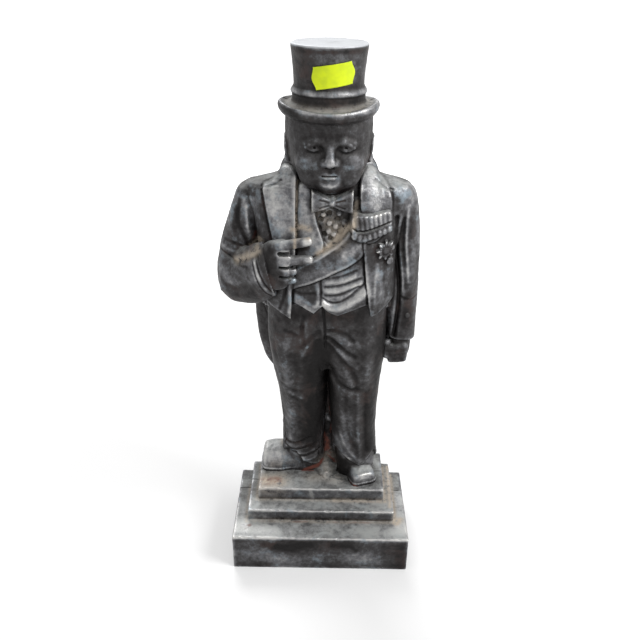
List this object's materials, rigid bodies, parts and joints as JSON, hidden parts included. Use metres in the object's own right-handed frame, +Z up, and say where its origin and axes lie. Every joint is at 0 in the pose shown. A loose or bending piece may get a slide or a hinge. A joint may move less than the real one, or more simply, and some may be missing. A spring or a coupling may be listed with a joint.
{
  "type": "cast iron doorstop",
  "caption": "Cast iron figure doorstop: a man in a top hat and tailcoat on a stepped plinth, hollow and open underneath.",
  "frame": {"origin": "on the surface that the plinth stands on, under the middle of the object's box", "axes": "+Z up the figure, -Y out of its front towards the viewer, +X to the right of the viewer (the figure's own left)"},
  "size_m": [0.1374, 0.077, 0.37],
  "materials": {
    "iron": "old black paint worn to bare dark iron, dusty in the hollows, rusty at the feet",
    "screw_steel": "dull dark steel with a little rust",
    "label_paper": "fluorescent yellow coated paper, printed with nothing"
  },
  "bodies": {
    "root": {"front_casting": "iron", "back_casting": "iron", "upper_tie_screw": "screw_steel", "upper_tie_washer": "screw_steel", "plinth_bolt_left": "screw_steel", "plinth_washer_left": "screw_steel", "plinth_nut_left": "screw_steel", "plinth_bolt_right": "screw_steel", "plinth_washer_right": "screw_steel", "plinth_nut_right": "screw_steel", "lot_label": "label_paper"}
  },
  "joints": []
}
